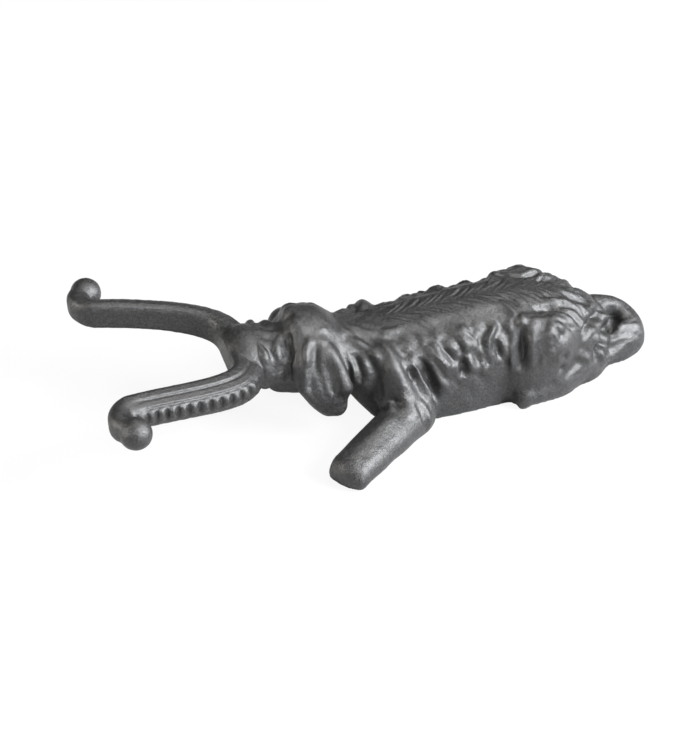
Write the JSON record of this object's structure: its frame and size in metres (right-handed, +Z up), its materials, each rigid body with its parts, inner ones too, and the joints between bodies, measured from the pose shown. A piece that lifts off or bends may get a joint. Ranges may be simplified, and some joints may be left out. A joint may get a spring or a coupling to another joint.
{
  "type": "boot jack",
  "caption": "Black cast-iron boot jack: a long-eared dog lies flat and grips in its mouth a beaded fork with ball-ended arms that holds a boot by its heel.",
  "frame": {"origin": "on the floor, below the middle of the casting", "axes": "+X along the casting from the fork's tips towards the dog's tail, +Y towards the dog's right side, +Z up from the floor"},
  "size_m": [0.3068, 0.1626, 0.06],
  "materials": {
    "painted_cast_iron": "near-black paint with a soft worn gloss over sand-cast grain"
  },
  "bodies": {
    "root": {"bridge": "painted_cast_iron", "left_arm": "painted_cast_iron", "right_arm": "painted_cast_iron", "left_knob": "painted_cast_iron", "right_knob": "painted_cast_iron", "muzzle": "painted_cast_iron", "head": "painted_cast_iron", "left_ear": "painted_cast_iron", "right_ear": "painted_cast_iron", "neck": "painted_cast_iron", "torso": "painted_cast_iron", "rump": "painted_cast_iron", "tail": "painted_cast_iron", "left_foreleg": "painted_cast_iron", "right_foreleg": "painted_cast_iron", "left_forepaw": "painted_cast_iron", "right_forepaw": "painted_cast_iron", "left_thigh": "painted_cast_iron", "right_thigh": "painted_cast_iron", "left_hind_paw": "painted_cast_iron", "right_hind_paw": "painted_cast_iron"}
  },
  "joints": []
}
